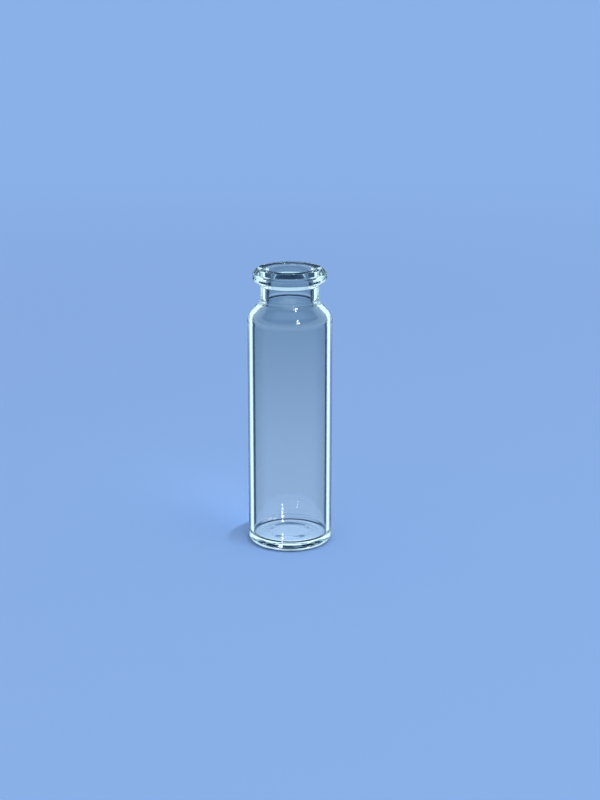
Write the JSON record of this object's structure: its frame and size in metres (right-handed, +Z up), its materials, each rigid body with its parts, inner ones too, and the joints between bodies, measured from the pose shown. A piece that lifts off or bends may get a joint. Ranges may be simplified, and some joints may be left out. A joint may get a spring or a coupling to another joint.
{
  "type": "sample vial",
  "caption": "Open cylindrical laboratory sample vial of clear tube glass, with a rounded heel, sloping shoulder, short neck and bevelled crimp lip.",
  "frame": {"origin": "centre of the standing ring's plane, on the vial's axis", "axes": "+Z up along the vial's axis, from the foot to the mouth; X and Y are any two horizontal directions, as the vial is round"},
  "size_m": [0.0225, 0.0224, 0.0755],
  "materials": {
    "glass": "clear colourless borosilicate tube glass, flame-polished and smooth"
  },
  "bodies": {
    "root": {"vial": "glass"}
  },
  "joints": []
}
